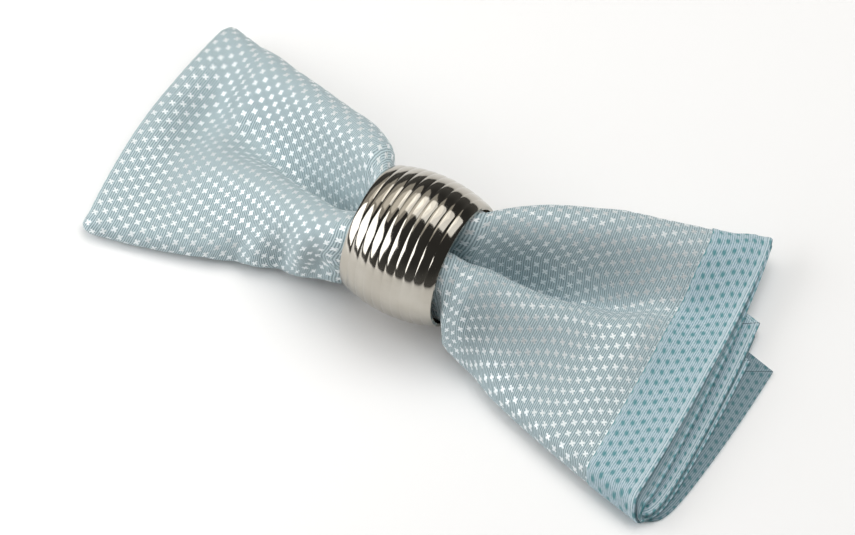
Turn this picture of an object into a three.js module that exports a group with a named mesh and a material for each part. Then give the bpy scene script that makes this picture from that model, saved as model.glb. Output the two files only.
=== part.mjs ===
import * as THREE from 'three';

// A quarter-folded cloth napkin, tucked under along its near side and drawn through a ring.
// Millimetres, +Z up. X runs along the ring's axis, towards the open, hemmed end.
// +Y points to the far side, where the cloth's folded edge lies.

// The ring
const ringRadius = 25;
const rimRadius = 21.85;
const ringLength = 34.7;
const ringWall = 1.25;
const beadCount = 10;
const beadDepth = 0.35;
const ringSides = 44;

// The cloth: how thick it lies where it is loose and where the ring packs it together
const looseSheet = 1.0;
const packedSheet = 0.55;
const layerGap = 0.3;
const packedReach = 18.2;
const looseReach = 42;

// How the two ends run across, as slope and curve of their lines in plan
const openEnd = { skew: -0.103, bow: -0.0008 };
const foldedEnd = { skew: -0.033, bow: 0.002 };

// Cross-sections from the open end to the folded end. Every section is a belt through the
// middle of the upper four layers: from the far edge, over the far crest, under the valley,
// over the near crest and down to the near turn, where it tucks back beneath itself.
// Crests and valleys give the belt's top or bottom point and its radius there, the turn
// gives its centre. The tucked part follows the belt where rest is 0 and lies flat where it is 1.
const sectionColumns = [
  'x', 'edgeY', 'edgeZ', 'farY', 'farZ', 'farR', 'dipY', 'dipZ', 'dipR',
  'nearY', 'nearZ', 'nearR', 'turnY', 'turnZ', 'rest',
];
const sectionRows = [
  [107.7, 70.0, 8.2, 61.0, 8.6, 30.0, 40.0, 7.9, 30.0, 8.0, 7.9, 30.0, -44.9, 5.2, 1],
  [94.0, 64.0, 9.0, 55.0, 16.5, 8.5, 32.0, 7.9, 14.0, 13.0, 9.5, 12.0, -40.6, 5.2, 1],
  [81.0, 57.5, 8.5, 49.1, 21.4, 8.2, 26.0, 8.0, 8.0, 10.5, 13.0, 8.2, -36.7, 5.2, 0.4],
  [69.0, 52.0, 9.0, 43.2, 25.8, 8.2, 20.5, 8.4, 4.5, 5.5, 17.6, 8.2, -33.0, 5.2, 0],
  [57.0, 46.5, 9.5, 37.1, 30.4, 8.2, 15.0, 9.4, 4.0, 1.0, 21.4, 8.2, -29.0, 5.2, 0],
  [46.0, 39.5, 10.5, 30.4, 33.3, 8.2, 9.5, 11.0, 3.2, -3.0, 25.0, 8.2, -25.0, 5.2, 0],
  [35.0, 31.5, 12.0, 23.6, 36.3, 7.8, 6.0, 13.0, 3.2, -6.0, 30.2, 7.8, -20.2, 5.5, 0],
  [26.0, 24.5, 14.0, 17.0, 38.2, 6.6, 2.5, 15.0, 2.8, -8.0, 36.2, 6.6, -16.6, 8.0, 0],
  [18.2, 13.5, 16.0, 8.0, 41.0, 5.5, 0.0, 16.2, 2.5, -8.0, 41.0, 5.5, -11.65, 13.0, 0],
  [-18.2, 13.5, 16.0, 8.0, 41.0, 5.5, 0.0, 16.2, 2.5, -8.0, 41.0, 5.5, -11.65, 13.0, 0],
  [-26.0, 25.5, 13.0, 18.4, 39.0, 6.6, 2.5, 14.5, 2.8, -9.0, 35.4, 6.6, -13.8, 9.6, 0],
  [-35.0, 31.5, 11.5, 23.8, 36.0, 7.8, 5.5, 12.2, 3.2, -7.5, 30.8, 7.8, -14.6, 7.2, 0],
  [-48.0, 38.0, 9.5, 28.6, 30.8, 8.2, 10.5, 10.0, 4.0, -4.0, 25.2, 8.2, -16.5, 5.4, 0],
  [-62.0, 43.5, 8.5, 34.1, 26.2, 8.2, 15.5, 8.8, 4.5, 0.5, 20.2, 8.4, -20.5, 5.2, 0],
  [-78.0, 49.5, 7.5, 40.1, 20.4, 8.2, 20.0, 8.2, 9.0, 3.0, 14.4, 9.5, -25.4, 5.2, 0],
  [-94.0, 54.5, 6.5, 45.4, 15.1, 8.2, 24.0, 7.9, 14.0, 4.5, 9.4, 12.0, -29.6, 5.2, 1],
  [-108.6, 57.3, 5.5, 48.6, 10.9, 8.2, 28.0, 7.9, 20.0, 5.0, 7.9, 30.0, -32.4, 5.2, 1],
];

// How the layers part at the open end: how far each one slides past the first above the near
// turn, below it and at its tucked edge, and how much of the tucked width it reaches.
const layerSlips = [
  { near: 0, under: 7, free: 16, reach: 0.65 },
  { near: 2.6, under: 5, free: 8, reach: 0.70 },
  { near: 3.6, under: 5, free: 6, reach: 0.77 },
  { near: 1.8, under: 4, free: 6, reach: 0.82 },
];

// Steps of the mesh: points on each bend, on the near turn and on the folded edges
const bendShares = [1 / 8, 3 / 8, 5 / 8, 7 / 8];
const turnShares = [1 / 4, 1 / 2, 3 / 4];
const foldShares = [1 / 3, 2 / 3];
const tuckedFrames = 12;
const straightSweep = 0.6;
const straightSpread = 12;
const bendClearance = 0.1;

const sections = sectionRows.map((row) => {
  return Object.fromEntries(sectionColumns.map((name, column) => [name, row[column]]));
});

function clampShare(value) {
  return Math.min(Math.max(value, 0), 1);
}

// Sheet thickness, pitch of the layers, and distance from the upper stack to the tucked one
function layAt(x) {
  const loose = clampShare((Math.abs(x) - packedReach) / (looseReach - packedReach));
  const sheet = packedSheet + (looseSheet - packedSheet) * loose;
  const pitch = sheet + layerGap;
  const nest = 4 * pitch + layerGap;
  return { sheet, pitch, nest, halfStack: 2 * pitch - layerGap / 2 };
}

// The normal angle of the straight line that leaves one round and arrives at the next.
// A round's reach is its radius, counted positive where the belt runs over it.
function tangentNormal(from, to) {
  const dy = to.y - from.y;
  const dz = to.z - from.z;
  const lean = Math.acos((from.reach - to.reach) / Math.hypot(dy, dz));
  let angle = Math.atan2(dz, dy) - lean;
  while (angle < -Math.PI / 2) {
    angle += 2 * Math.PI;
  }
  return angle;
}

function frameOnRound(round, angle) {
  return {
    y: round.y + round.reach * Math.cos(angle),
    z: round.z + round.reach * Math.sin(angle),
    outY: Math.cos(angle),
    outZ: Math.sin(angle),
  };
}

function mixFrames(a, b, share) {
  const mix = (key) => a[key] + (b[key] - a[key]) * share;
  return { y: mix('y'), z: mix('z'), outY: mix('outY'), outZ: mix('outZ'), order: a.order };
}

// The rounds of one section, none tighter than the stack can follow or lower than it can lie
function sectionRounds(section, lay) {
  const tightest = lay.nest + lay.halfStack + bendClearance;
  const lowest = lay.nest + lay.halfStack;
  const farRadius = Math.max(section.farR, tightest);
  const nearRadius = Math.max(section.nearR, tightest);
  return [
    { y: section.edgeY, z: section.edgeZ, reach: 0 },
    { y: section.farY, z: Math.max(section.farZ, lowest) - farRadius, reach: farRadius },
    { y: section.dipY, z: Math.max(section.dipZ, lowest) + section.dipR, reach: -section.dipR },
    { y: section.nearY, z: Math.max(section.nearZ, lowest) - nearRadius, reach: nearRadius },
    { y: section.turnY, z: Math.max(section.turnZ, lowest - lay.nest / 2), reach: lay.nest / 2 },
  ];
}

function distances(frames) {
  const along = [0];
  for (let index = 1; index < frames.length; index += 1) {
    const step = Math.hypot(frames[index].y - frames[index - 1].y, frames[index].z - frames[index - 1].z);
    along.push(along[index - 1] + step);
  }
  return along;
}

// Draws the tucked part back so that it covers only a share of its path
function drawBack(frames, share) {
  const along = distances(frames);
  return along.map((distance, place) => {
    const target = distance * share;
    let index = 1;
    while (index < frames.length - 1 && along[index] < target) {
      index += 1;
    }
    const local = (target - along[index - 1]) / (along[index] - along[index - 1]);
    return { ...mixFrames(frames[index - 1], frames[index], local), order: frames[place].order };
  });
}

// The belt's frames from the far edge over the top to the near turn. On a bend that is almost
// straight they spread along it, so that they never meet.
function topFrames(rounds, normals) {
  const frames = [frameOnRound(rounds[0], normals[0])];
  for (let bend = 1; bend < rounds.length - 1; bend += 1) {
    const sweep = normals[bend] - normals[bend - 1];
    const straight = clampShare(1 - Math.abs(sweep) / straightSweep);
    const slack = straight * Math.max(0, straightSpread - Math.abs(sweep * rounds[bend].reach));
    for (const share of bendShares) {
      const frame = frameOnRound(rounds[bend], normals[bend - 1] + sweep * share);
      frame.y -= frame.outZ * slack * (share - 0.5);
      frame.z += frame.outY * slack * (share - 0.5);
      frames.push(frame);
    }
  }
  frames.push(frameOnRound(rounds[rounds.length - 1], normals[normals.length - 1]));
  return frames.map((frame, order) => ({ ...frame, order }));
}

// The tucked frames, one nest below the belt, from the near turn back to the free edges
function beneathFrames(top, lay, rest) {
  const beneath = top.slice().reverse().slice(0, tuckedFrames);
  return beneath.map((frame) => {
    const nested = {
      y: frame.y - lay.nest * frame.outY,
      z: frame.z - lay.nest * frame.outZ,
      outY: -frame.outY,
      outZ: -frame.outZ,
      order: frame.order,
    };
    const flat = { y: nested.y, z: lay.halfStack, outY: 0, outZ: -1 };
    return mixFrames(nested, flat, rest);
  });
}

// Each frame's share of the whole way through a list of frames
function shares(frames) {
  const along = distances(frames);
  return along.map((distance) => distance / along[along.length - 1]);
}

// One section's frames for each of the four layers: y, z and the outward direction.
// Order runs along the belt. topShare goes from 0 at the far edge to 1 at the near turn,
// underShare from 0 to 1 around the turn, and tuckShare from there to 1 at the free edge.
function shapeSection(section) {
  const lay = layAt(section.x);
  const rounds = sectionRounds(section, lay);
  const normals = rounds.slice(1).map((round, index) => tangentNormal(rounds[index], round));
  const top = topFrames(rounds, normals);
  const turn = rounds[rounds.length - 1];
  const turnStart = normals[normals.length - 1];
  const around = turnShares.map((share) => ({
    ...frameOnRound(turn, turnStart + Math.PI * share),
    order: top.length + Math.sin(Math.PI * share),
  }));
  const beneath = beneathFrames(top, lay, section.rest);
  const topShares = [...shares(top), ...around.map(() => 1), ...beneath.map(() => 1)];
  const underShares = [...top.map(() => 0), ...turnShares, ...beneath.map(() => 1)];
  const tuckShares = [...top.map(() => 0), ...around.map(() => 0), ...shares(beneath)];
  const layers = layerSlips.map((slips) => {
    const open = section === sections[0];
    const tucked = drawBack(beneath, open ? slips.reach : 1);
    return [...top, ...around, ...tucked].map((frame, index) => {
      const [topShare, underShare, tuckShare] = [topShares[index], underShares[index], tuckShares[index]];
      return { ...frame, topShare, underShare, tuckShare };
    });
  });
  return { section, lay, layers };
}

// One row of the cloth for each section of the upper half, then the fold, then the lower half.
// The open rows, first and last, also know their neighbour.
function clothRows(shapes) {
  const upper = shapes.map((shape) => ({ shape, turned: 0 }));
  upper[0].neighbour = shapes[1];
  const folded = shapes[shapes.length - 1];
  const fold = foldShares.map((share) => ({ shape: folded, turned: Math.PI * share }));
  const lower = upper.map((row) => ({ ...row, turned: Math.PI })).reverse();
  return [...upper, ...fold, ...lower];
}

// One column for each frame of the outer layer, then the far fold, then the inner layer
function clothColumns(frameCount) {
  const outer = Array.from({ length: frameCount }, (_, index) => ({ frame: index, turned: 0 })).reverse();
  const fold = foldShares.map((share) => ({ frame: 0, turned: Math.PI * share }));
  const inner = Array.from({ length: frameCount }, (_, index) => ({ frame: index, turned: Math.PI }));
  return [...outer, ...fold, ...inner];
}

function layerIndex(row, column) {
  const inner = column.turned > Math.PI / 2;
  const lower = row.turned > Math.PI / 2;
  return lower ? (inner ? 2 : 3) : (inner ? 1 : 0);
}

function endLine(x, y) {
  const end = x > 0 ? openEnd : foldedEnd;
  const lastX = Math.abs(x > 0 ? sections[0].x : sections[sections.length - 1].x);
  const share = clampShare((Math.abs(x) - packedReach) / (lastX - packedReach));
  return share * (end.skew * y + end.bow * y * y);
}

// A point of one section, on the cloth's outer side (side +1) or inner side (side -1)
function sectionPoint(shape, row, column, side) {
  const { section, lay, layers } = shape;
  const frame = layers[layerIndex(row, column)][column.frame];
  const bend = (lay.pitch + side * lay.sheet) / 2;
  const height = lay.pitch + bend * Math.cos(column.turned);
  const outward = bend * Math.sin(column.turned);
  const lift = height * Math.cos(row.turned);
  const y = frame.y + lift * frame.outY + outward * frame.outZ;
  const z = frame.z + lift * frame.outZ - outward * frame.outY;
  return { x: section.x - height * Math.sin(row.turned) + endLine(section.x, y), y, z };
}

// At the open end a layer slides on along its own slope
function clothPoint(row, column, side) {
  const { x, y, z } = sectionPoint(row.shape, row, column, side);
  if (!row.neighbour) {
    return [x, y, z];
  }
  const layer = layerIndex(row, column);
  const { near, under, free } = layerSlips[layer];
  const { topShare, underShare, tuckShare } = row.shape.layers[layer][column.frame];
  const slide = near * topShare + (under - near) * underShare + (free - under) * tuckShare;
  const inward = sectionPoint(row.neighbour, row, column, side);
  const ahead = slide / (x - inward.x);
  return [x + slide, y + (y - inward.y) * ahead * (1 - tuckShare), z + (z - inward.z) * ahead];
}

function buildNapkin() {
  const shapes = sections.map(shapeSection);
  const rows = clothRows(shapes);
  const frames = shapes[0].layers[0];
  const columns = clothColumns(frames.length);
  const points = [];
  for (const side of [1, -1]) {
    for (const row of rows) {
      for (const column of columns) {
        points.push(...clothPoint(row, column, side));
      }
    }
  }
  const width = columns.length;
  const count = rows.length * width;
  const at = (row, column, side) => (side > 0 ? 0 : count) + row * width + column;
  const faces = [];
  const addQuad = (a, b, c, d) => {
    faces.push(a, b, c, a, c, d);
  };
  // Neighbouring layers share the direction of their diagonals, so they stay parallel
  const leans = (row, column) => {
    const across = rows[row + 1].shape.section.x - rows[row].shape.section.x;
    const along = frames[columns[column + 1].frame].order - frames[columns[column].frame].order;
    return across * along > 0;
  };
  for (let row = 0; row < rows.length - 1; row += 1) {
    for (let column = 0; column < width - 1; column += 1) {
      for (const side of [1, -1]) {
        const corners = [
          at(row, column, side), at(row, column + 1, side), at(row + 1, column + 1, side), at(row + 1, column, side),
        ];
        if (leans(row, column)) {
          corners.push(corners.shift());
        }
        const [a, b, c, d] = corners;
        addQuad(a, side > 0 ? b : d, c, side > 0 ? d : b);
      }
    }
    addQuad(at(row, 0, 1), at(row + 1, 0, 1), at(row + 1, 0, -1), at(row, 0, -1));
    addQuad(at(row, width - 1, -1), at(row + 1, width - 1, -1), at(row + 1, width - 1, 1), at(row, width - 1, 1));
  }
  const lastRow = rows.length - 1;
  for (let column = 0; column < width - 1; column += 1) {
    addQuad(at(0, column, 1), at(0, column, -1), at(0, column + 1, -1), at(0, column + 1, 1));
    addQuad(
      at(lastRow, column, -1), at(lastRow, column, 1), at(lastRow, column + 1, 1), at(lastRow, column + 1, -1),
    );
  }
  const geometry = new THREE.BufferGeometry();
  geometry.setAttribute('position', new THREE.Float32BufferAttribute(points, 3));
  geometry.setIndex(faces);
  geometry.computeVertexNormals();
  const cloth = new THREE.MeshStandardMaterial({ color: 0xa9bcc2, roughness: 0.85, metalness: 0 });
  cloth.side = THREE.DoubleSide;
  const napkin = new THREE.Mesh(geometry, cloth);
  napkin.name = 'napkin';
  return napkin;
}

// Radius of the ring's barrel at a place along its axis, measured over the beads
function barrelRadius(along) {
  const rise = ringRadius - rimRadius;
  const sweep = ((ringLength / 2) ** 2 + rise ** 2) / (2 * rise);
  return ringRadius - sweep + Math.sqrt(sweep ** 2 - along ** 2);
}

// Closed profile: round beads outside, a plain barrel inside
function ringProfile() {
  const profile = [];
  const beadWidth = ringLength / beadCount;
  const beadSteps = 3;
  for (let step = 0; step <= beadCount * beadSteps; step += 1) {
    const along = -ringLength / 2 + (step * beadWidth) / beadSteps;
    const crown = Math.sin((Math.PI * step) / beadSteps) ** 2;
    const groove = step % beadSteps === 0 ? beadDepth : beadDepth * 0.25 * (1 - crown);
    profile.push(new THREE.Vector2(barrelRadius(along) - groove, along));
  }
  const innerSteps = 8;
  for (let step = innerSteps; step >= 0; step -= 1) {
    const along = -ringLength / 2 + (step * ringLength) / innerSteps;
    profile.push(new THREE.Vector2(barrelRadius(along) - ringWall, along));
  }
  profile.push(profile[0].clone());
  return profile;
}

function buildRing() {
  const flatHeight = Math.cos(Math.PI / ringSides);
  const geometry = new THREE.LatheGeometry(ringProfile(), ringSides, Math.PI / ringSides);
  const metal = new THREE.MeshStandardMaterial({ color: 0xb9b3a8, roughness: 0.12, metalness: 1 });
  const ring = new THREE.Mesh(geometry, metal);
  ring.name = 'napkin_ring';
  ring.rotation.z = -Math.PI / 2;
  ring.position.z = barrelRadius(ringLength / beadCount / 2) * flatHeight;
  return ring;
}

const napkinInRing = new THREE.Group();
napkinInRing.name = 'napkin_in_ring';
napkinInRing.add(buildNapkin(), buildRing());

// The origin is on the surface below the middle of the whole object
const extent = new THREE.Box3().setFromObject(napkinInRing);
const middle = extent.getCenter(new THREE.Vector3());
napkinInRing.position.set(-middle.x, -middle.y, -extent.min.z);
napkinInRing.updateMatrixWorld(true);

export default napkinInRing;
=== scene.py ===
import bisect
import math

import bmesh
import bpy
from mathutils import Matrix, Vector


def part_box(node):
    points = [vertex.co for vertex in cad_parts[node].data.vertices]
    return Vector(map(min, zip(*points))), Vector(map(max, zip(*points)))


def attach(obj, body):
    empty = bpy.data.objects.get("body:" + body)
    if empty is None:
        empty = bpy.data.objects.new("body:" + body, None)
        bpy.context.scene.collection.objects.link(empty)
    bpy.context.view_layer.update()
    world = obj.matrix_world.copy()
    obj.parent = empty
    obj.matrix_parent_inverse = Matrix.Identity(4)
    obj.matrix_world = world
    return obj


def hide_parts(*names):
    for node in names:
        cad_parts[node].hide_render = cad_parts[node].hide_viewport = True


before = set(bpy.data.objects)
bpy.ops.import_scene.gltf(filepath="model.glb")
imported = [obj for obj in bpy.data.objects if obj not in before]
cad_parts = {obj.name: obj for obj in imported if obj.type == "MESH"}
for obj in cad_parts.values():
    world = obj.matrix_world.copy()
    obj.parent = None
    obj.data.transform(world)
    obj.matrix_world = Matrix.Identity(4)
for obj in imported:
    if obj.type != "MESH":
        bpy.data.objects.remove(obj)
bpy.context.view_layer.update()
mm = 0.001

ringLow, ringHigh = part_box("napkin_ring")
ringCentre = (ringLow + ringHigh) / 2
home = Vector((ringCentre.x, ringCentre.y, 0))  # on the surface, below the ring's centre
print("frame loaded, ring centre", [round(value, 4) for value in ringCentre])


def addObject(name, data):
    made = bpy.data.objects.new(name, data)
    bpy.context.scene.collection.objects.link(made)
    return made


# Camera, at the photograph's angle, far off with a long lens because the photograph shows no perspective
camera = {
    "azimuth": 29.8,  # degrees, 0 looks along +Y
    "elevation": 53.0,
    "lens": 600.0,
    "pixelsPerMm": 3.0,
    "frame": (855, 535),
    "homePixel": (417.3, 291.0),  # where the photograph shows the point below the ring's centre
    "clip": (0.2, 4),  # as shares of the camera's distance
}


def makeCamera():
    data = bpy.data.cameras.new("camera")
    eye = addObject("camera", data)
    data.lens = camera["lens"]
    azimuth = math.radians(camera["azimuth"])
    elevation = math.radians(camera["elevation"])
    right = Vector((math.cos(azimuth), math.sin(azimuth), 0))
    back = Vector((
        math.sin(azimuth) * math.cos(elevation),
        -math.cos(azimuth) * math.cos(elevation),
        math.sin(elevation),
    ))
    up = back.cross(right)
    perPixel = mm / camera["pixelsPerMm"]
    wide, high = camera["frame"]
    across = (wide / 2 - camera["homePixel"][0]) * perPixel
    above = (camera["homePixel"][1] - high / 2) * perPixel
    distance = data.lens / data.sensor_width * wide * perPixel
    eye.location = home + right * across + up * above + back * distance
    eye.rotation_mode = "QUATERNION"
    eye.rotation_quaternion = (-back).to_track_quat("-Z", "Y")
    data.clip_start, data.clip_end = (distance * share for share in camera["clip"])
    bpy.context.scene.camera = eye


makeCamera()
print("camera placed")


# The cloth. Lengths are in millimetres from the point below the ring's centre.
# X runs along the ring's axis to the open, hemmed end, Y to the far side, Z up.
napkin = {
    "half": 225.0,  # half the side of the square, which is folded in quarters
    "hem": 21.0,
    "sheet": 0.5,
    "gap": 0.3,  # between the faces that meet at the far fold
    "openPitch": 1.3,  # from one layer to the next at the open end, at the folded end and in the ring
    "foldedPitch": 0.95,
    "packedPitch": 0.85,
    "packedReach": 18.5,  # how far from the ring's centre the layers stay packed
    "smoothReach": 18.6,  # how far the cloth is pressed smooth, and over what length its creases then grow
    "creaseRise": 2.6,
    "looseReach": 42.0,
    "foldRound": 0.45,  # how much the far fold stands open, and over what length across
    "foldReach": 5.0,
    "openEnd": (-1.44, -0.087, -0.00083),  # place, slope and curve of the open end's line in plan
    "foldedEnd": (0.0, -0.033, 0.002),
    "layers": 4,
    "bendClearance": 0.1,  # what the tightest bend has beyond the layers inside it
    "bendStep": 0.06,  # radians between the points of a bend
    "beltPoints": 90,  # across one section
    "beltStep": 2.2,  # between sections, and finer where the cloth enters the ring
    "ringStep": 1.3,
    "ringStepReach": (15.0, 34.0),
    "smoothRounds": 3,
    "smoothPull": 0.5,
    "farFoldSteps": 4,
    "turnSteps": 12,
    "endFoldSteps": 5,
    "tuckedTo": 0.1,  # how near the far fold the tucked cloth may reach, as a share of the belt
    "tuckedLength": 80.0,
    "slipFrom": 40.0,  # where the layers start to slip apart towards the open end
    "slipStepReach": 0.06,  # over what share of the tucked cloth a layer's step rises
    "ringStretch": (96.0, 130.0),  # the flat cloth that lies in the ring, where its rows may spread
    "rimShare": 0.6,  # how thin the hem's very edge is, and how wide that edge
    "rimRound": 0.5,
    "sharpAngle": 50.0,
}

sectionNames = (
    "x", "edgeY", "edgeZ", "farY", "farZ", "farR", "dipY", "dipZ", "dipR",
    "nearY", "nearZ", "nearR", "turnY", "turnZ", "rest",
)
# Each section is a belt through the upper four layers: far edge, far crest, valley, near crest, near turn
sectionTable = (
    (107.7, 70.0, 8.2, 61.0, 8.6, 30.0, 40.0, 7.9, 30.0, 10.0, 10.4, 30.0, -43.4, 5.2, 1),
    (94.0, 64.0, 9.0, 55.0, 16.5, 8.5, 32.0, 7.9, 14.0, 12.0, 12.4, 16.0, -39.9, 5.2, 1),
    (81.0, 57.5, 8.5, 49.1, 21.4, 8.2, 26.0, 8.0, 8.0, 10.0, 15.0, 10.0, -36.7, 5.2, 0.4),
    (69.0, 52.0, 9.0, 43.2, 25.8, 8.2, 20.5, 8.4, 4.5, 5.5, 17.6, 8.2, -33.0, 5.2, 0),
    (57.0, 46.5, 9.5, 37.1, 30.4, 8.2, 16.2, 8.6, 4.0, 1.0, 21.4, 8.2, -29.0, 5.2, 0),
    (46.0, 39.5, 10.5, 30.4, 33.3, 8.2, 12.0, 9.2, 3.2, -3.2, 24.8, 8.2, -25.0, 5.2, 0),
    (35.0, 31.5, 12.0, 23.6, 36.3, 7.8, 9.0, 10.6, 3.2, -5.8, 29.0, 7.8, -20.2, 5.5, 0),
    (26.0, 24.5, 14.0, 17.0, 38.2, 6.6, 5.0, 12.6, 2.8, -8.8, 34.0, 6.6, -17.6, 6.8, 0),
    (21.5, 17.6, 15.0, 11.5, 40.2, 6.2, 2.2, 15.0, 2.6, -10.0, 37.0, 6.2, -16.6, 7.8, 0),
    (20.0, 15.8, 15.4, 9.6, 40.6, 5.8, 0.0, 15.7, 2.5, -10.4, 37.7, 6.0, -14.4, 9.8, 0),
    (18.5, 13.5, 16.0, 8.0, 41.0, 5.5, -0.8, 16.0, 2.5, -10.5, 38.4, 5.5, -11.2, 12.5, 0),
    (-18.2, 13.5, 16.0, 8.0, 41.0, 5.5, -0.8, 16.0, 2.5, -10.5, 38.4, 5.5, -11.2, 12.5, 0),
    (-21.5, 20.5, 14.4, 15.0, 40.0, 6.4, 0.6, 15.2, 2.6, -10.2, 36.4, 6.2, -13.4, 10.4, 0),
    (-26.0, 25.5, 13.0, 18.8, 39.2, 6.6, 2.0, 14.3, 2.8, -10.2, 33.6, 6.6, -13.8, 9.6, 0),
    (-35.0, 31.5, 11.5, 24.4, 36.4, 6.6, 5.5, 12.2, 3.2, -8.2, 29.8, 7.8, -14.6, 7.2, 0),
    (-48.0, 38.0, 9.5, 30.0, 31.4, 6.2, 10.5, 10.0, 4.0, -4.0, 25.2, 8.2, -16.5, 5.4, 0),
    (-62.0, 43.5, 8.5, 35.8, 26.8, 6.0, 15.5, 8.8, 4.5, 0.5, 20.2, 8.4, -20.5, 5.2, 0),
    (-78.0, 49.5, 7.5, 42.0, 21.2, 6.0, 20.0, 8.2, 9.0, 3.0, 14.4, 9.5, -25.2, 4.8, 0),
    (-94.0, 55.0, 6.5, 48.6, 16.0, 4.4, 24.0, 7.9, 14.0, 4.5, 9.4, 12.0, -29.2, 4.1, 1),
    (-109.6, 59.0, 5.5, 55.0, 10.6, 3.0, 28.0, 7.9, 20.0, 5.0, 7.9, 30.0, -32.0, 4.0, 1),
)

# How far each layer slides past the first at the open end, and how much of it is tucked under there
layerSlips = (
    {"near": 0.0, "under": 4.0, "step": 5.5, "free": 17.0, "tucked": 77.0},
    {"near": 2.6, "under": 4.0, "step": 4.0, "free": 8.1, "tucked": 74.0},
    {"near": 3.6, "under": 4.0, "step": 4.0, "free": 6.5, "tucked": 82.0},
    {"near": 1.8, "under": 3.5, "step": 4.2, "free": 6.3, "tucked": 87.0},
)

# Creases and dents pressed into the cloth: where along and across the belt, how long, wide and high
# each is, and by how many degrees it is turned
creaseNames = ("x", "across", "length", "width", "height", "turn")
creases = (
    (-107.0, 40.0, 6.0, 24.0, 2.0, -3),
    (-94.0, 42.0, 7.5, 22.0, -4.0, -6),
    (-84.5, 36.0, 5.5, 22.0, 2.0, -6),
    (-58.5, 98.0, 4.5, 6.0, -2.1, 0),
    (-51.5, 96.0, 4.5, 8.0, 2.1, 0),
    (-43.0, 103.0, 4.0, 7.0, -2.8, 0),
    (-35.0, 100.0, 4.2, 9.0, 2.6, 0),
    (-28.0, 104.0, 3.5, 8.0, -2.4, 0),
    (21.5, 88.0, 2.8, 8.0, -1.8, 0),
    (21.0, 106.0, 4.4, 9.0, 2.6, 0),
    (28.5, 97.0, 4.4, 15.0, 3.2, 0),
    (80.5, 62.0, 7.0, 30.0, 2.8, 4),
    (96.0, 56.0, 7.0, 24.0, -1.0, 4),
)


def between(a, b, share):
    return a + (b - a) * share


def clampShare(value):
    return min(max(value, 0.0), 1.0)


def easeShare(value):
    share = clampShare(value)
    return share * share * (3 - 2 * share)


# A smooth line through a table's column, which never swings past its points
def slopesOf(places, values):
    steps = [(values[i + 1] - values[i]) / (places[i + 1] - places[i]) for i in range(len(values) - 1)]
    slopes = [steps[0]]
    for before, after in zip(steps, steps[1:]):
        slopes.append(0.0 if before * after <= 0 else 2 * before * after / (before + after))
    slopes.append(steps[-1])
    return slopes


def makeSections():
    rows = sorted(sectionTable)
    places = [row[0] for row in rows]
    columns = {name: [row[k] for row in rows] for k, name in enumerate(sectionNames)}
    slopes = {name: slopesOf(places, column) for name, column in columns.items()}

    def sectionAt(x):
        i = min(max(bisect.bisect_right(places, x) - 1, 0), len(places) - 2)
        wide = places[i + 1] - places[i]
        share = (x - places[i]) / wide
        found = {}
        for name, column in columns.items():
            bend = slopes[name]
            a, b = column[i], column[i + 1]
            first = (1 + 2 * share) * (1 - share) ** 2 * a + share * (1 - share) ** 2 * wide * bend[i]
            second = share ** 2 * (3 - 2 * share) * b
            found[name] = first + second + share ** 2 * (share - 1) * wide * bend[i + 1]
        found["x"] = x
        return found

    return sectionAt


# How the layers lie in one section: from one to the next, from the upper four to the tucked four,
# and half a stack
def layAt(x):
    reach = (abs(x) - napkin["packedReach"]) / (napkin["looseReach"] - napkin["packedReach"])
    loose = clampShare(reach)
    pitch = between(napkin["packedPitch"], napkin["openPitch" if x > 0 else "foldedPitch"], loose)
    nest = napkin["layers"] * pitch + napkin["gap"]
    return {"pitch": pitch, "nest": nest, "halfStack": 2 * pitch - napkin["gap"] / 2, "loose": loose}


# The angle of the normal of the straight line that touches two rounds (y, z, radius)
def tangentNormal(a, b):
    dy, dz = b[0] - a[0], b[1] - a[1]
    share = (a[2] - b[2]) / math.hypot(dy, dz)
    angle = math.atan2(dz, dy) - math.acos(min(max(share, -1.0), 1.0))
    while angle < -math.pi / 2:
        angle += 2 * math.pi
    return angle


# The belt of one section as points (y, z), evenly spaced from the far edge to the near turn
def beltOf(section, lay):
    lowest = lay["nest"] + lay["halfStack"]
    tightest = between(lowest, lay["halfStack"], section["rest"]) + napkin["bendClearance"]
    farR = max(section["farR"], tightest)
    nearR = max(section["nearR"], tightest)
    rounds = (
        (section["edgeY"], section["edgeZ"], 0.0),
        (section["farY"], max(section["farZ"], lowest) - farR, farR),
        (section["dipY"], max(section["dipZ"], lowest) + section["dipR"], -section["dipR"]),
        (section["nearY"], max(section["nearZ"], lowest) - nearR, nearR),
        (section["turnY"], max(section["turnZ"], lowest - lay["nest"] / 2), lay["nest"] / 2),
    )
    normals = [tangentNormal(a, b) for a, b in zip(rounds, rounds[1:])]
    line = [(rounds[0][0], rounds[0][1])]
    for k in range(1, 4):
        y, z, reach = rounds[k]
        start, end = normals[k - 1], normals[k]
        if (end - start) * reach < 0:
            start = end = (start + end) / 2
        steps = max(1, int(abs(end - start) / napkin["bendStep"]))
        for step in range(steps + 1):
            angle = between(start, end, step / steps)
            line.append((y + reach * math.cos(angle), z + reach * math.sin(angle)))
    y, z, reach = rounds[4]
    line.append((y + reach * math.cos(normals[3]), z + reach * math.sin(normals[3])))
    return spread(line, napkin["beltPoints"])


def lengthsOf(line):
    along = [0.0]
    for a, b in zip(line, line[1:]):
        along.append(along[-1] + math.dist(a, b))
    return along


def pointAt(line, along, distance):
    i = min(max(bisect.bisect_right(along, distance) - 1, 0), len(line) - 2)
    share = (distance - along[i]) / max(along[i + 1] - along[i], 1e-9)
    return tuple(between(a, b, share) for a, b in zip(line[i], line[i + 1]))


def spread(line, count):
    along = lengthsOf(line)
    return [pointAt(line, along, along[-1] * k / (count - 1)) for k in range(count)]


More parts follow.
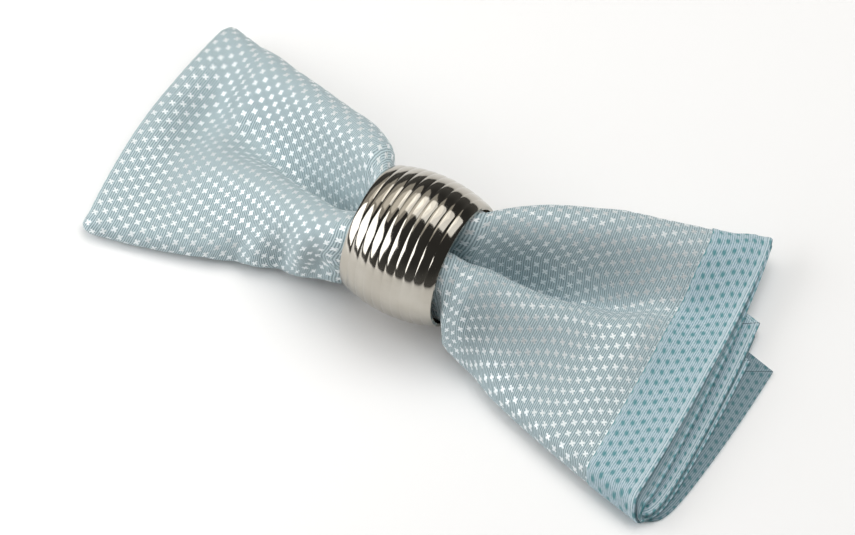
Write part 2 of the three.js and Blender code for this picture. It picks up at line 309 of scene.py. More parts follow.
# How far the cloth's end is shifted in plan, which fades towards the ring
def endLine(x, y):
    place, slope, curve = napkin["openEnd" if x > 0 else "foldedEnd"]
    last = sectionTable[0][0] if x > 0 else -sectionTable[-1][0]
    share = clampShare((abs(x) - napkin["packedReach"]) / (last - napkin["packedReach"]))
    return share * (place + slope * y + curve * y * y)


def stationsAlong():
    fineFrom, fineTo = napkin["ringStepReach"]
    places = []
    x = sectionTable[0][0]
    while x > sectionTable[-1][0]:
        places.append(x)
        x -= napkin["ringStep"] if fineFrom < abs(x) < fineTo else napkin["beltStep"]
    return places + [sectionTable[-1][0]]


# The whole belt as rows of points (y, z) over x, smoothed along and across, with its creases pressed in
def makeBelt():
    sectionAt = makeSections()
    rows = []
    for x in stationsAlong():
        section = sectionAt(x)
        lay = layAt(x)
        rows.append({"x": x, "lay": lay, "rest": section["rest"], "line": beltOf(section, lay)})
    for _ in range(napkin["smoothRounds"]):
        smoothRows(rows)
    for row in rows:
        press(row)
    return rows


def smoothRows(rows):
    lines = [row["line"] for row in rows]
    pull = napkin["smoothPull"]
    for i in range(1, len(rows) - 1):
        if abs(rows[i]["x"]) < napkin["smoothReach"]:
            continue
        fresh = [lines[i][0]]
        for k in range(1, len(lines[i]) - 1):
            around = [lines[i][k - 1], lines[i][k + 1], lines[i - 1][k], lines[i + 1][k]]
            mean = [sum(p[axis] for p in around) / len(around) for axis in (0, 1)]
            fresh.append(tuple(between(a, b, pull) for a, b in zip(lines[i][k], mean)))
        fresh.append(lines[i][-1])
        rows[i]["line"] = fresh


def normalsOf(line):
    found = []
    for k in range(len(line)):
        a, b = line[max(k - 1, 0)], line[min(k + 1, len(line) - 1)]
        dy, dz = b[0] - a[0], b[1] - a[1]
        size = math.hypot(dy, dz)
        found.append((dz / size, -dy / size))
    return found


def creaseHeight(x, across):
    height = 0.0
    for values in creases:
        crease = dict(zip(creaseNames, values))
        turn = math.radians(crease["turn"])
        dx, dt = x - crease["x"], across - crease["across"]
        along = dx * math.cos(turn) + dt * math.sin(turn)
        aside = dt * math.cos(turn) - dx * math.sin(turn)
        height += crease["height"] * math.exp(
            -(along / crease["length"]) ** 2 - (aside / crease["width"]) ** 2)
    return height


def press(row):
    along = lengthsOf(row["line"])
    normals = normalsOf(row["line"])
    pressed = []
    risen = easeShare((abs(row["x"]) - napkin["smoothReach"]) / napkin["creaseRise"])
    for (y, z), (ny, nz), across in zip(row["line"], normals, along):
        height = risen * creaseHeight(row["x"], across)
        pressed.append((y + ny * height, z + nz * height))
    row["line"] = pressed


# One layer's path across a section: points (y, z) from the far fold over the top, round the turn and back
# beneath. The marks say how far along the top and round the turn each point is, as shares.
def layerPath(row, layer):
    lay, line = row["lay"], row["line"]
    normals = normalsOf(line)
    upperSide = 1 if layer < 2 else -1
    outerSide = 1 if layer in (0, 3) else -1
    along = lengthsOf(line)
    open0 = napkin["foldRound"] * lay["loose"]

    def height(across):
        lift = napkin["gap"] / 2 + open0 * math.exp(-(across / napkin["foldReach"]) ** 2)
        return upperSide * (lay["pitch"] + outerSide * lift)

    path = []
    marks = []
    foldLift = napkin["gap"] / 2 + open0
    for step in range(napkin["farFoldSteps"]):
        turned = math.pi / 2 * (1 - step / napkin["farFoldSteps"])
        y, z = line[0]
        ny, nz = normals[0]
        up = upperSide * (lay["pitch"] + outerSide * foldLift * math.cos(turned))
        out = foldLift * math.sin(turned)
        path.append((y + up * ny + out * nz, z + up * nz - out * ny))
        marks.append((0.0, 0.0))
    for k, ((y, z), (ny, nz)) in enumerate(zip(line, normals)):
        up = height(along[k])
        path.append((y + up * ny, z + up * nz))
        marks.append((along[k] / along[-1], 0.0))
    half = lay["nest"] / 2
    ny, nz = normals[-1]
    y, z = line[-1]
    centre = (y - half * ny, z - half * nz)
    start = math.atan2(nz, ny)
    reach = half + height(along[-1])
    for step in range(1, napkin["turnSteps"]):
        share = step / napkin["turnSteps"]
        angle = start + math.pi * step / napkin["turnSteps"]
        path.append((centre[0] + reach * math.cos(angle), centre[1] + reach * math.sin(angle)))
        marks.append((1.0, share))
    atTurn = len(path)
    for k in range(len(line) - 1, int(len(line) * napkin["tuckedTo"]), -1):
        y, z = line[k]
        ny, nz = normals[k]
        middle = (y - lay["nest"] * ny, z - lay["nest"] * nz)
        flat = (middle[0], lay["halfStack"])
        middle = tuple(between(a, b, row["rest"]) for a, b in zip(middle, flat))
        out = (between(-ny, 0, row["rest"]), between(-nz, -1, row["rest"]))
        lift = height(along[k])
        path.append((middle[0] + lift * out[0], middle[1] + lift * out[1]))
        marks.append((1.0, 1.0))
    return path, marks, atTurn


# How the mesh's rows and columns are spaced on the flat cloth: close at a fold, a hem's seam and an edge
flatSteps = {
    "atFold": (0.0, 0.5, 1.1, 1.8, 2.6, 3.6),
    "atEdge": (2.4, 1.7, 1.2, 0.7, 0.3, 0.0),  # in from the edge
    "edgeZone": 3.0,
    "seamZone": 0.2,
    "atSeam": 0.15,  # to either side of it
    "along": {"fine": 2.1, "coarse": 2.1, "fineZone": (0.0, 0.0)},
    "across": {"fine": 1.5, "coarse": 2.75, "fineZone": (108.0, 142.0)},  # fine where the near turn bends it
}


# Where they lie on one half of the flat cloth, from its fold to its edge
def flatPlaces(steps):
    half, seam = napkin["half"], napkin["half"] - napkin["hem"]
    fineFrom, fineTo = steps["fineZone"]
    coarse = steps["coarse"]
    places = list(flatSteps["atFold"])
    while places[-1] + coarse < seam - flatSteps["seamZone"]:
        places.append(places[-1] + (steps["fine"] if fineFrom < places[-1] < fineTo else coarse))
    places += [seam - flatSteps["atSeam"], seam + flatSteps["atSeam"]]
    while places[-1] + coarse < half - flatSteps["edgeZone"]:
        places.append(places[-1] + coarse)
    return places + [half - inset for inset in flatSteps["atEdge"]]


alongPlaces = flatPlaces(flatSteps["along"])
acrossPlaces = flatPlaces(flatSteps["across"])


# Points (x, y, z) of one layer on its own rows and columns of flat cloth
def layerGrid(belt, layer):
    slip = layerSlips[layer]
    half = napkin["half"]
    columns = [[] for _ in acrossPlaces]
    slides = []
    for i, row in enumerate(belt):
        path, marks, atTurn = layerPath(row, layer)
        along = lengthsOf(path)
        atEnd = easeShare((row["x"] - napkin["slipFrom"]) / (sectionTable[0][0] - napkin["slipFrom"]))
        wanted = between(napkin["tuckedLength"], slip["tucked"], atEnd)
        tucked = min(wanted, along[-1] - along[atTurn])
        beneath = along[atTurn]
        for j, across in enumerate(acrossPlaces):
            distance = across
            if across > beneath:
                distance = beneath + (across - beneath) / (half - beneath) * tucked
            y, z = pointAt(path, along, distance)
            columns[j].append((row["x"] + endLine(row["x"], y), y, z))
            if i == 0:
                share = max(0.0, distance - beneath) / tucked
                mark = pointAt(marks, along, distance)
                slide = slip["near"] * mark[0] + (slip["under"] - slip["near"]) * mark[1]
                slide += slip["step"] * (1 - math.exp(-share / napkin["slipStepReach"]))
                slides.append(slide + (slip["free"] - slip["under"] - slip["step"]) * share)
    return [slideOut(column, slide) for column, slide in zip(columns, slides)]


# Lengthens a column at the open end, on along its own slope
def slideOut(column, slide):
    if slide <= 0:
        return column
    first, second = column[0], column[1]
    ahead = slide / (first[0] - second[0])
    return [tuple(a + (a - b) * ahead for a, b in zip(first, second))] + column


# The fold at the left end turns an upper layer into a lower one
def foldPoint(upper, lower, turned):
    middle = [(a + b) / 2 for a, b in zip(upper, lower)]
    reach = math.dist(upper, lower) / 2
    across = [(a - b) / 2 for a, b in zip(upper, lower)]
    return tuple(
        middle[axis] + across[axis] * math.cos(turned) - (reach * math.sin(turned) if axis == 0 else 0)
        for axis in range(3)
    )


# One column's points at the rows' true distances from its two ends. What is left over lies in the ring.
def rowPoints(column, foldSide):
    line = column + foldSide
    along = lengthsOf(line)
    whole, half = along[-1], napkin["half"]
    ringFrom, ringTo = napkin["ringStretch"]
    points = []
    for place in alongPlaces:
        if place > ringTo:
            distance = half - place
        elif place < ringFrom:
            distance = whole - place
        else:
            share = (place - ringFrom) / (ringTo - ringFrom)
            distance = between(whole - ringFrom, half - ringTo, share)
        points.append(pointAt(line, along, distance))
    return points


# Where each row and column of the flat cloth comes to lie: its first and fourth layers join at the left end's
# fold, and so do its second and third
def makeClothPoints():
    belt = makeBelt()
    grids = [layerGrid(belt, layer) for layer in range(napkin["layers"])]
    steps = napkin["endFoldSteps"]
    turns = [math.pi / 2 * step / steps for step in range(1, steps + 1)]
    placed = {}
    last = len(alongPlaces) - 1
    side = len(acrossPlaces) - 1
    for upper, lower in ((0, 3), (1, 2)):
        for j in range(side + 1):
            top, under = grids[upper][j], grids[lower][j]
            foldTop = [foldPoint(top[-1], under[-1], turned) for turned in turns]
            foldUnder = [foldPoint(top[-1], under[-1], math.pi - turned) for turned in turns]
            column = side - j if upper == 0 else side + j
            for i, point in enumerate(rowPoints(top, foldTop)):
                placed[last - i, column] = point
            for i, point in enumerate(rowPoints(under, foldUnder)):
                placed[last + i, column] = point
    return placed


def clothThickness(along, across, x):
    rim = napkin["half"] - max(abs(along), abs(across))
    if rim > napkin["hem"]:
        return napkin["sheet"]
    hem = layAt(x)["pitch"] - napkin["gap"]
    return hem * between(napkin["rimShare"], 1.0, clampShare(rim / napkin["rimRound"]))


# How far round the cloth's edge a point lies
def rimPlace(along, across):
    half = napkin["half"] - 0.001  # a thousandth in, so that rounding leaves no edge point out
    if across < -half:
        return along + half
    if along > half:
        return 3 * half + across
    return 7 * half - across if along < -half and across < half else 5 * half - along


# The flat cloth as a UV map: its front in the left half, its reverse in the right half, the edge between them
bakeMap = {
    "name": "OFBake",
    "front": 0.005,
    "edge": 0.494,
    "reverse": 0.512,
    "wide": 0.483,
    "edgeWide": 0.012,
    "low": 0.005,
    "tall": 0.99,
}


def layOutMap(shape, place, backCount, edgeFaces):
    shape.verts.index_update()
    shape.faces.index_update()
    atEdge = {face.index for face in edgeFaces}
    layer = shape.loops.layers.uv.new(bakeMap["name"])
    half = napkin["half"]
    for face in shape.faces:
        onEdge = face.index in atEdge
        around = [rimPlace(loop.vert[place].x, loop.vert[place].y) / (8 * half) for loop in face.loops]
        if onEdge and max(around) - min(around) > 0.5:
            around = [value + 1 if value < 0.5 else value for value in around]
        for loop, turned in zip(face.loops, around):
            along, across = loop.vert[place].x, loop.vert[place].y
            isFront = loop.vert.index >= backCount
            if onEdge:
                u = bakeMap["edge"] + (0 if isFront else bakeMap["edgeWide"])
                v = turned
            else:
                side = bakeMap["front"] if face.material_index == 0 else bakeMap["reverse"]
                u = side + (across + half) / (2 * half) * bakeMap["wide"]
                v = (along + half) / (2 * half)
            loop[layer].uv = (u, bakeMap["low"] + bakeMap["tall"] * v)


flatLayer = "flatCloth"  # the mesh's own record of where each point lies on the flat cloth, in millimetres


# The cloth's reverse is one grid in its folded place, its front a copy raised by the cloth's thickness
def makeNapkin():
    placed = makeClothPoints()
    rows = 2 * len(alongPlaces) - 1
    columns = 2 * len(acrossPlaces) - 1
    flatAlong = [-place for place in reversed(alongPlaces)] + alongPlaces[1:]
    flatAcross = [-place for place in reversed(acrossPlaces)] + acrossPlaces[1:]
    mesh = bpy.data.meshes.new("napkin_cloth")
    shape = bmesh.new()
    place = shape.verts.layers.float_vector.new(flatLayer)
    back = bmesh.ops.create_grid(shape, x_segments=rows - 1, y_segments=columns - 1, size=1)["verts"]
    for vertex in back:
        i = round((vertex.co.x + 1) / 2 * (rows - 1))
        k = round((vertex.co.y + 1) / 2 * (columns - 1))
        vertex.co = Vector(placed[i, k]) * mm + home
        thickness = clothThickness(flatAlong[i], flatAcross[k], placed[i, k][0])
        vertex[place] = (flatAlong[i], flatAcross[k], thickness)
    shape.normal_update()
    upper = max(back, key=lambda vertex: vertex.co.z)
    if upper.normal.z < 0:
        bmesh.ops.reverse_faces(shape, faces=shape.faces[:])
        shape.normal_update()
    backFaces = shape.faces[:]
    both = bmesh.ops.duplicate(shape, geom=shape.verts[:] + shape.edges[:] + backFaces)
    front = [part for part in both["geom"] if isinstance(part, bmesh.types.BMVert)]
    normals = [vertex.normal.copy() for vertex in front]
    for vertex, normal in zip(front, normals):
        vertex.co += normal * vertex[place].z * mm
    for vertex in shape.verts:
        vertex[place].z = 0
    bmesh.ops.reverse_faces(shape, faces=backFaces)
    for face in backFaces:
        face.material_index = 1
    edges = [edge for edge in shape.edges if edge.is_boundary]
    bridged = bmesh.ops.bridge_loops(shape, edges=edges)["faces"]
    for face in shape.faces:
        face.smooth = True
    layOutMap(shape, place, len(back), bridged)
    shape.to_mesh(mesh)
    shape.free()
    mesh.set_sharp_from_angle(angle=math.radians(napkin["sharpAngle"]))
    piece = addObject("napkin_cloth", mesh)
    print("napkin:", len(mesh.vertices), "points", len(mesh.polygons), "faces,", len(bridged), "at its edges")
    return piece


# Colours are given as they look on a screen, 0 to 255
def colour(red, green, blue):
    def linear(value):
        value /= 255
        return value / 12.92 if value <= 0.04045 else ((value + 0.055) / 1.055) ** 2.4
    return (linear(red), linear(green), linear(blue), 1.0)


def newNode(tree, kind, **values):
    node = tree.nodes.new(kind)
    for name, value in values.items():
        setattr(node, name, value)
    return node


def setOrLink(tree, slot, value):
    if isinstance(value, bpy.types.NodeSocket):
        tree.links.new(value, slot)
    else:
        slot.default_value = value


def sumUp(tree, operation, *inputs, kind="ShaderNodeMath"):
    node = newNode(tree, kind, operation=operation)
    for slot, value in zip(node.inputs, inputs):
        setOrLink(tree, slot, value)
    return node.outputs[0]


def sumVectors(tree, operation, *inputs):
    return sumUp(tree, operation, *inputs, kind="ShaderNodeVectorMath")


def rampUp(tree, value, low, high):
    node = newNode(tree, "ShaderNodeMapRange", interpolation_type="SMOOTHSTEP")
    tree.links.new(value, node.inputs["Value"])
    node.inputs["From Min"].default_value = low
    node.inputs["From Max"].default_value = high
    return node.outputs["Result"]


def blendColours(tree, share, first, second):
    node = newNode(tree, "ShaderNodeMix", data_type="RGBA")
    for place, value in ((0, share), (6, first), (7, second)):  # the sockets that mix colours
        setOrLink(tree, node.inputs[place], value)
    return node.outputs[2]


def newGroup(name, inputs, outputs):
    tree = bpy.data.node_groups.new(name, "ShaderNodeTree")
    for label, kind, value in inputs:
        slot = tree.interface.new_socket(label, in_out="INPUT", socket_type=kind)
        if value is not None:
            slot.default_value = value
    for label, kind in outputs:
        tree.interface.new_socket(label, in_out="OUTPUT", socket_type=kind)
    return tree, tree.nodes.new("NodeGroupInput"), tree.nodes.new("NodeGroupOutput")


def placeGroup(tree, group, flat, **values):
    node = newNode(tree, "ShaderNodeGroup", node_tree=group)
    tree.links.new(flat, node.inputs["Flat"])
    for name, value in values.items():
        setOrLink(tree, node.inputs[name], value)
    return node


def newMaterial(name):
    material = bpy.data.materials.new(name)
    material.use_nodes = True
    return material, material.node_tree, material.node_tree.nodes["Principled BSDF"]


# Small woven figures on a staggered lattice: diagonal stars, or dashes that lie across.
# Sizes are in millimetres.
figures = {
    "pitchAlong": 6.0,
    "pitchAcross": 4.4,
    "wander": 0.16,  # how far the threads wander, and how often in a millimetre
    "wanderScale": 1.6,
    "diagonal": math.sqrt(0.5),
    "star": {"Arm": 1.08, "Width": 0.34, "Soft": 0.1},
    "dash": {"Width": 0.74, "Soft": 0.46, "Stretch": 1.35},
}


def makeFigureGroup():
    tree, start, end = newGroup("wovenFigures", [
        ("Flat", "NodeSocketVector", None),
        ("Arm", "NodeSocketFloat", figures["star"]["Arm"]),
        ("Width", "NodeSocketFloat", figures["star"]["Width"]),
        ("Soft", "NodeSocketFloat", figures["star"]["Soft"]),
        ("Stretch", "NodeSocketFloat", 1.0),
    ], [("Star", "NodeSocketFloat"), ("Dash", "NodeSocketFloat")])
    flat = start.outputs["Flat"]
    arm, width, soft, stretch = (start.outputs[name] for name in ("Arm", "Width", "Soft", "Stretch"))
    wander = newNode(tree, "ShaderNodeTexNoise")
    wander.inputs["Scale"].default_value = figures["wanderScale"]
    wander.inputs["Detail"].default_value = 1.0
    tree.links.new(flat, wander.inputs["Vector"])
    shift = sumVectors(tree, "SUBTRACT", wander.outputs["Color"], (0.5, 0.5, 0.5))
    size = figures["wander"] * 2
    shift = sumVectors(tree, "MULTIPLY", shift, (size, size, 0.0))
    moved = sumVectors(tree, "ADD", flat, shift)
    cell = (figures["pitchAlong"], figures["pitchAcross"], 1.0)
    counted = sumVectors(tree, "DIVIDE", moved, cell)
    stars, dashes = [], []
    for offset in (0.0, 0.5):
        place = sumVectors(tree, "ADD", counted, (offset, offset, 0.0))
        place = sumVectors(tree, "FRACTION", place)
        place = sumVectors(tree, "SUBTRACT", place, (0.5, 0.5, 0.0))
        place = sumVectors(tree, "MULTIPLY", place, cell)
        parts = newNode(tree, "ShaderNodeSeparateXYZ")
        tree.links.new(place, parts.inputs[0])
        along, across = parts.outputs[0], parts.outputs[1]
        rising = sumUp(tree, "MULTIPLY", sumUp(tree, "ADD", along, across), figures["diagonal"])
        falling = sumUp(tree, "MULTIPLY", sumUp(tree, "SUBTRACT", along, across), figures["diagonal"])
        one, two = sumUp(tree, "ABSOLUTE", rising), sumUp(tree, "ABSOLUTE", falling)
        slim, long = sumUp(tree, "MINIMUM", one, two), sumUp(tree, "MAXIMUM", one, two)
        inWidth = sumUp(tree, "DIVIDE", sumUp(tree, "SUBTRACT", width, slim), soft)
        inArm = sumUp(tree, "DIVIDE", sumUp(tree, "SUBTRACT", arm, long), soft)
        both = sumUp(tree, "MINIMUM", inWidth, inArm)
        stars.append(rampUp(tree, both, -1.0, 1.0))
        wide = sumUp(tree, "POWER", sumUp(tree, "ABSOLUTE", along), 2.0)
        tall = sumUp(tree, "DIVIDE", sumUp(tree, "ABSOLUTE", across), stretch)
        reach = sumUp(tree, "SQRT", sumUp(tree, "ADD", wide, sumUp(tree, "POWER", tall, 2.0)))
        inside = sumUp(tree, "DIVIDE", sumUp(tree, "SUBTRACT", width, reach), soft)
        dashes.append(rampUp(tree, inside, -1.0, 1.0))
    tree.links.new(sumUp(tree, "MAXIMUM", *stars), end.inputs["Star"])
    tree.links.new(sumUp(tree, "MAXIMUM", *dashes), end.inputs["Dash"])
    return tree


# Fine ribs across the cloth, with threads of uneven tone. Lengths are in millimetres.
ribs = {
    "pitch": 0.78,
    "wander": 0.22,
    "wanderScale": 0.35,
    "threadScale": (3.2, 0.9, 1.0),  # how often the tone changes along and across
    "height": 0.04,
}


def makeRibGroup():
    tree, start, end = newGroup("fineRibs", [
        ("Flat", "NodeSocketVector", None),
        ("Pitch", "NodeSocketFloat", ribs["pitch"]),
    ], [("Rib", "NodeSocketFloat"), ("Thread", "NodeSocketFloat")])
    flat = start.outputs["Flat"]
    wander = newNode(tree, "ShaderNodeTexNoise")
    wander.inputs["Scale"].default_value = ribs["wanderScale"]
    tree.links.new(flat, wander.inputs["Vector"])
    parts = newNode(tree, "ShaderNodeSeparateXYZ")
    tree.links.new(flat, parts.inputs[0])
    shift = sumUp(tree, "MULTIPLY", wander.outputs["Fac"], ribs["wander"])
    along = sumUp(tree, "ADD", parts.outputs[0], shift)
    turns = sumUp(tree, "MULTIPLY", sumUp(tree, "DIVIDE", along, start.outputs["Pitch"]), 2 * math.pi)
    wave = sumUp(tree, "COSINE", turns)
    tree.links.new(sumUp(tree, "MULTIPLY_ADD", wave, 0.5, 0.5), end.inputs["Rib"])
    stretched = sumVectors(tree, "MULTIPLY", flat, ribs["threadScale"])
    thread = newNode(tree, "ShaderNodeTexNoise")
    thread.inputs["Scale"].default_value = 1.0
    thread.inputs["Detail"].default_value = 3.0
    tree.links.new(stretched, thread.inputs["Vector"])
    tree.links.new(thread.outputs["Fac"], end.inputs["Thread"])
    return tree


# Lines along the hem, in millimetres in from its seam or from the cloth's edge, each with half its width
hemLines = {
    "seam": 0.7,
    "seamWide": 0.2,
    "seamShare": 0.5,
    "stitches": (1.1, 2.3),
    "stitchWide": 0.22,
    "share": 0.6,
    "mitreWide": 0.22,
    "mitreShare": 0.8,
}


# How far in from the cloth's edge a place is, whether it is in the hem, and the mitred seams of its corners
def makeHemGroup():
    tree, start, end = newGroup("hemMarks", [
        ("Flat", "NodeSocketVector", None),
    ], [("Rim", "NodeSocketFloat"), ("Hem", "NodeSocketFloat"), ("Mitre", "NodeSocketFloat")])
    parts = newNode(tree, "ShaderNodeSeparateXYZ")
    tree.links.new(start.outputs["Flat"], parts.inputs[0])
    along, across = (sumUp(tree, "ABSOLUTE", parts.outputs[axis]) for axis in (0, 1))
    rim = sumUp(tree, "SUBTRACT", napkin["half"], sumUp(tree, "MAXIMUM", along, across))
    otherRim = sumUp(tree, "SUBTRACT", napkin["half"], sumUp(tree, "MINIMUM", along, across))
    corner = sumUp(tree, "LESS_THAN", otherRim, napkin["hem"])
    diagonal = sumUp(tree, "COMPARE", along, across, hemLines["mitreWide"])
    tree.links.new(rim, end.inputs["Rim"])
    tree.links.new(sumUp(tree, "LESS_THAN", rim, napkin["hem"]), end.inputs["Hem"])
    tree.links.new(sumUp(tree, "MULTIPLY", corner, diagonal), end.inputs["Mitre"])
    return tree


clothLooks = {
    "ground": colour(196, 213, 218),
    "groundDark": colour(108, 131, 138),
    "star": colour(240, 246, 248),
    "backGround": colour(190, 208, 220),
    "backDark": colour(104, 146, 157),
    "backDash": colour(48, 132, 138),
    "stitch": colour(214, 228, 232),
    # dark colour for the mitres' seam lines, and for the painted shade on the reverse
    "mitreAndPaintedShade": colour(60, 84, 92),
    "paintedShadeShare": 0.5,  # painted shade: how far the reverse is painted darker than the hem, which is turned over from it
    "dashShare": 0.8,
    "frontMottle": (0.4, 0.75, 0.35),  # from and to which thread tone the paler threads rise, and how far
    "backMottle": (0.35, 0.7, 0.45),
    "roughness": 0.72,
    "backRoughness": 0.75,
    "starSmoother": 0.3,
    "starMetal": 0.5,  # the stars' satin threads
    "starHeight": 0.06,
    "sheen": 0.25,
    "sheenRoughness": 0.4,
    "bump": 0.6,
}


# Ribs between two tones, with paler threads here and there
def ribbedGround(tree, rib, thread, dark, light, mottle):
    ground = blendColours(tree, rib, dark, light)
    low, high, share = mottle
    pale = sumUp(tree, "MULTIPLY", rampUp(tree, thread, low, high), share)
    return blendColours(tree, pale, ground, clothLooks["stitch"])


# The reverse of the weave, which shows on the hem too: ribs with dashes on them
def makeReverseGroup():
    tree, start, end = newGroup("reverseWeave", [
        ("Flat", "NodeSocketVector", None),
        ("Rib", "NodeSocketFloat", 0.0),
        ("Thread", "NodeSocketFloat", 0.0),
    ], [("Colour", "NodeSocketColor")])
    ground = ribbedGround(
        tree, start.outputs["Rib"], start.outputs["Thread"],
        clothLooks["backDark"], clothLooks["backGround"], clothLooks["backMottle"],
    )
    dashNode = placeGroup(tree, figureGroup, start.outputs["Flat"], **figures["dash"])
    dash = sumUp(tree, "MULTIPLY", dashNode.outputs["Dash"], clothLooks["dashShare"])
    tree.links.new(blendColours(tree, dash, ground, clothLooks["backDash"]), end.inputs["Colour"])
    return tree


figureGroup = makeFigureGroup()
ribGroup = makeRibGroup()
hemGroup = makeHemGroup()
reverseGroup = makeReverseGroup()


def hemColour(tree, rim, back):
    seam = sumUp(tree, "COMPARE", rim, napkin["hem"] - hemLines["seam"], hemLines["seamWide"])
    lines = sumUp(tree, "MULTIPLY", seam, hemLines["seamShare"])
    for place in hemLines["stitches"]:
        lines = sumUp(tree, "MAXIMUM", lines, sumUp(tree, "COMPARE", rim, place, hemLines["stitchWide"]))
    return blendColours(tree, sumUp(tree, "MULTIPLY", lines, hemLines["share"]), back, clothLooks["stitch"])


def makeClothFinish(name, showsStars):
    material, tree, shader = newMaterial(name)
    flat = newNode(tree, "ShaderNodeAttribute", attribute_name=flatLayer).outputs["Vector"]
    ribNode = placeGroup(tree, ribGroup, flat)
    rib, thread = ribNode.outputs["Rib"], ribNode.outputs["Thread"]
    height = sumUp(tree, "MULTIPLY", rib, ribs["height"])
    back = placeGroup(tree, reverseGroup, flat, Rib=rib, Thread=thread).outputs["Colour"]
    # The reverse is painted darker than the hem, as painted shade for the lower layers that lie in shadow
    if not showsStars:
        back = blendColours(tree, clothLooks["paintedShadeShare"], back, clothLooks["mitreAndPaintedShade"])
    hemNode = placeGroup(tree, hemGroup, flat)
    mitre = sumUp(tree, "MULTIPLY", hemNode.outputs["Mitre"], hemLines["mitreShare"])
    surface = blendColours(tree, mitre, back, clothLooks["mitreAndPaintedShade"])
    if showsStars:
        star = placeGroup(tree, figureGroup, flat, **figures["star"]).outputs["Star"]
        ground = ribbedGround(
            tree, rib, thread, clothLooks["groundDark"], clothLooks["ground"], clothLooks["frontMottle"],
        )
        front = blendColours(tree, star, ground, clothLooks["star"])
        inHem = hemNode.outputs["Hem"]
        surface = blendColours(tree, inHem, front, hemColour(tree, hemNode.outputs["Rim"], surface))
        shine = sumUp(tree, "MULTIPLY", star, sumUp(tree, "SUBTRACT", 1.0, inHem))
        roughness = sumUp(tree, "MULTIPLY_ADD", shine, -clothLooks["starSmoother"], clothLooks["roughness"])
        tree.links.new(roughness, shader.inputs["Roughness"])
        tree.links.new(sumUp(tree, "MULTIPLY", shine, clothLooks["starMetal"]), shader.inputs["Metallic"])
        height = sumUp(tree, "ADD", height, sumUp(tree, "MULTIPLY", shine, clothLooks["starHeight"]))
    else:
        shader.inputs["Roughness"].default_value = clothLooks["backRoughness"]
    tree.links.new(surface, shader.inputs["Base Color"])
    shader.inputs["Sheen Weight"].default_value = clothLooks["sheen"]
    shader.inputs["Sheen Roughness"].default_value = clothLooks["sheenRoughness"]
    bump = newNode(tree, "ShaderNodeBump")
    bump.inputs["Strength"].default_value = clothLooks["bump"]
    bump.inputs["Distance"].default_value = mm
    tree.links.new(height, bump.inputs["Height"])
    tree.links.new(bump.outputs["Normal"], shader.inputs["Normal"])
    return material


cloth = makeNapkin()
cloth.data.materials.append(makeClothFinish("napkinFront", True))
cloth.data.materials.append(makeClothFinish("napkinBack", False))
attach(cloth, "root")
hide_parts("napkin")
print("napkin dressed")


# The ring: ten round ribs around a barrel, polished. Lengths are in millimetres.
ring = {
    "radius": 25.0,
    "rimRadius": 21.85,
    "length": 34.7,
    "wall": 1.25,
    "beads": 10,
    "beadDepth": 0.24,
    "beadShape": 3.0,  # higher is flatter on top, with a narrower groove
    "beadSteps": 14,
    "innerSteps": 24,
    "spinSteps": 200,
    "sharpAngle": 28.0,
    "metal": (colour(180, 175, 165), colour(190, 186, 177)),
    "roughness": 0.07,
    "smear": 0.05,  # how much rougher the metal is where it is smeared
    "smearScale": 90.0,
    "smearRange": (0.35, 0.7),
}


# The ring's outer radius at the top of its ribs: a shallow arc from rim to rim
def barrelRadius(along):
    rise = ring["radius"] - ring["rimRadius"]
    sweep = ((ring["length"] / 2) ** 2 + rise ** 2) / (2 * rise)
    return ring["radius"] - sweep + math.sqrt(sweep ** 2 - along ** 2)


# The wall's closed section as pairs (along, radius): out along its ribs, back along its plain inside
def ringProfile():
    half = ring["length"] / 2
    bead = ring["length"] / ring["beads"]
    points = []
    for step in range(ring["beads"] * ring["beadSteps"] + 1):
        along = -half + step * bead / ring["beadSteps"]
        across = (step % ring["beadSteps"]) / ring["beadSteps"] * 2 - 1
        points.append((along, barrelRadius(along) - ring["beadDepth"] * abs(across) ** ring["beadShape"]))
    for step in range(ring["innerSteps"] + 1):
        along = half - step * ring["length"] / ring["innerSteps"]
        points.append((along, barrelRadius(along) - ring["wall"]))
    return points


def makeRing():
    mesh = bpy.data.meshes.new("ring_metal")
    shape = bmesh.new()
    places = [Vector((along, 0, radius)) * mm for along, radius in ringProfile()]
    points = [shape.verts.new(ringCentre + place) for place in places]
    edges = [shape.edges.new(pair) for pair in zip(points, points[1:] + points[:1])]
    bmesh.ops.spin(
        shape, geom=points + edges, cent=ringCentre, axis=(1, 0, 0), dvec=(0, 0, 0),
        angle=2 * math.pi, steps=ring["spinSteps"], use_merge=True, use_duplicate=False,
    )
    bmesh.ops.remove_doubles(shape, verts=shape.verts[:], dist=1e-6)
    bmesh.ops.recalc_face_normals(shape, faces=shape.faces[:])
    for face in shape.faces:
        face.smooth = True
    shape.to_mesh(mesh)
    shape.free()
    mesh.set_sharp_from_angle(angle=math.radians(ring["sharpAngle"]))
    piece = addObject("ring_metal", mesh)
    print("ring:", len(mesh.polygons), "faces")
    return piece


def makeRingFinish():
    material, tree, shader = newMaterial("polishedRing")
    place = newNode(tree, "ShaderNodeTexCoord")
    smear = newNode(tree, "ShaderNodeTexNoise")
    smear.inputs["Scale"].default_value = ring["smearScale"]
    smear.inputs["Detail"].default_value = 4.0
    tree.links.new(place.outputs["Object"], smear.inputs["Vector"])
    share = rampUp(tree, smear.outputs["Fac"], *ring["smearRange"])
    tree.links.new(blendColours(tree, share, *ring["metal"]), shader.inputs["Base Color"])
    roughness = sumUp(tree, "MULTIPLY_ADD", share, ring["smear"], ring["roughness"])
    tree.links.new(roughness, shader.inputs["Roughness"])
    shader.inputs["Metallic"].default_value = 1.0
    return material


band = makeRing()
band.data.materials.append(makeRingFinish())
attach(band, "root")
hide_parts("napkin_ring")
print("ring dressed")


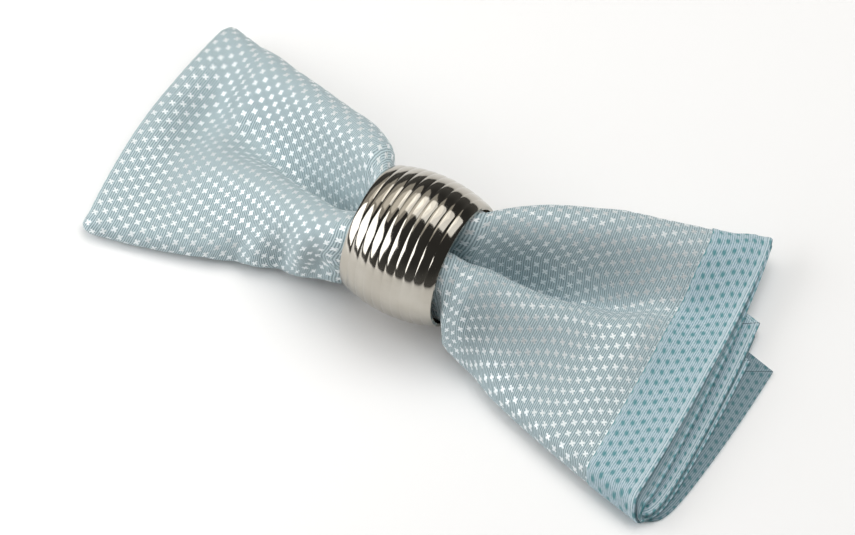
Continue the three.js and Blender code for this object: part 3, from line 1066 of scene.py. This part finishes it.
# A pale floor, soft boxes and a dim sky that lightens to the horizon
studio = {
    "floor": colour(250, 250, 250),
    "floorSize": 6.0,  # metres
    "floorRoughness": 0.9,
    "floorGloss": 0.1,
    "horizon": (0.1, 0.098, 0.094, 1),
    "sky": (0.045, 0.044, 0.042, 1),
    "skyFrom": 0.5,  # how high the horizon's light reaches
    "lights": (
        # name, azimuth (0 at -Y, 90 at +X), degrees above the floor, distance, width and height of the box,
        # watts, colour, and whether polished metal shows it
        ("keyBox", -57.0, 30.0, 0.6, 0.64, 0.463, 2.5, (1.0, 1.0, 1.0), True),
        ("backBox", 174.0, 65.0, 1.2, 0.95, 0.8, 3.0, (1.0, 0.99, 0.97), True),
        ("warmCard", -127.0, 53.0, 1.2, 1.5, 1.15, 2.4, (1.0, 0.94, 0.84), True),
        ("warmCore", -127.0, 56.0, 1.15, 0.8, 0.5, 0.7, (1.0, 0.96, 0.88), True),
        ("topFill", 120.0, 75.0, 1.4, 1.3, 1.3, 8.4, (1.0, 1.0, 1.0), False),
        ("sideFill", 108.0, 28.0, 1.4, 1.3, 1.3, 6.2, (1.0, 1.0, 1.0), False),
    ),
}


def makeFloor():
    mesh = bpy.data.meshes.new("floor")
    shape = bmesh.new()
    bmesh.ops.create_grid(shape, x_segments=1, y_segments=1, size=studio["floorSize"] / 2)
    shape.to_mesh(mesh)
    shape.free()
    floor = addObject("floor", mesh)
    material, _, shader = newMaterial("paleFloor")
    shader.inputs["Base Color"].default_value = studio["floor"]
    shader.inputs["Roughness"].default_value = studio["floorRoughness"]
    shader.inputs["Specular IOR Level"].default_value = studio["floorGloss"]
    mesh.materials.append(material)


def makeLights():
    for name, azimuth, height, distance, wide, tall, watts, tint, mirrored in studio["lights"]:
        data = bpy.data.lights.new(name, "AREA")
        data.color = tint
        data.shape = "RECTANGLE"
        data.size, data.size_y, data.energy = wide, tall, watts
        turn, rise = math.radians(azimuth), math.radians(height)
        away = Vector((math.sin(turn) * math.cos(rise), -math.cos(turn) * math.cos(rise), math.sin(rise)))
        lamp = addObject(name, data)
        lamp.location = home + away * distance
        lamp.visible_glossy = mirrored
        lamp.rotation_mode = "QUATERNION"
        lamp.rotation_quaternion = away.to_track_quat("Z", "Y")


def makeSky():
    world = bpy.data.worlds.new("studioSky")
    bpy.context.scene.world = world
    world.use_nodes = True
    tree = world.node_tree
    place = newNode(tree, "ShaderNodeTexCoord")
    parts = newNode(tree, "ShaderNodeSeparateXYZ")
    tree.links.new(place.outputs["Generated"], parts.inputs[0])
    share = rampUp(tree, parts.outputs[2], 0.0, studio["skyFrom"])
    sky = blendColours(tree, share, studio["horizon"], studio["sky"])
    tree.links.new(sky, tree.nodes["Background"].inputs["Color"])


makeFloor()
makeLights()
makeSky()
bpy.context.scene.view_settings.view_transform = "Standard"
print("studio lit")
